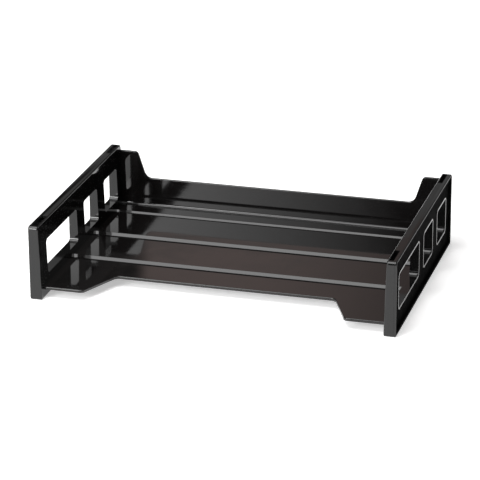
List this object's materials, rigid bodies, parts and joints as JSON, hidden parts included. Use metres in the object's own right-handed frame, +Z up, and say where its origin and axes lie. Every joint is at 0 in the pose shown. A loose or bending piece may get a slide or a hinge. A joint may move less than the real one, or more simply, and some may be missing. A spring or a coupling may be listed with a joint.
{
  "type": "letter tray",
  "caption": "Side-load stacking letter tray: a ribbed bed with a finger notch and a dipped back wall, held between two windowed end panels.",
  "frame": {"origin": "on the table, under the middle of the tray's footprint", "axes": "+X to the tray's right, +Y towards its back wall, +Z up"},
  "size_m": [0.336, 0.235, 0.07],
  "materials": {
    "bed_plastic": "polished injection-moulded black polystyrene",
    "panel_plastic": "polished injection-moulded black polystyrene",
    "cover_plastic": "finely grained matte outer face with polished edges and window beads, injection-moulded black polystyrene"
  },
  "bodies": {
    "root": {"tray_bed": "bed_plastic", "left_end_panel": "panel_plastic", "left_outer_cover": "cover_plastic", "right_end_panel": "panel_plastic", "right_outer_cover": "cover_plastic"}
  },
  "joints": []
}
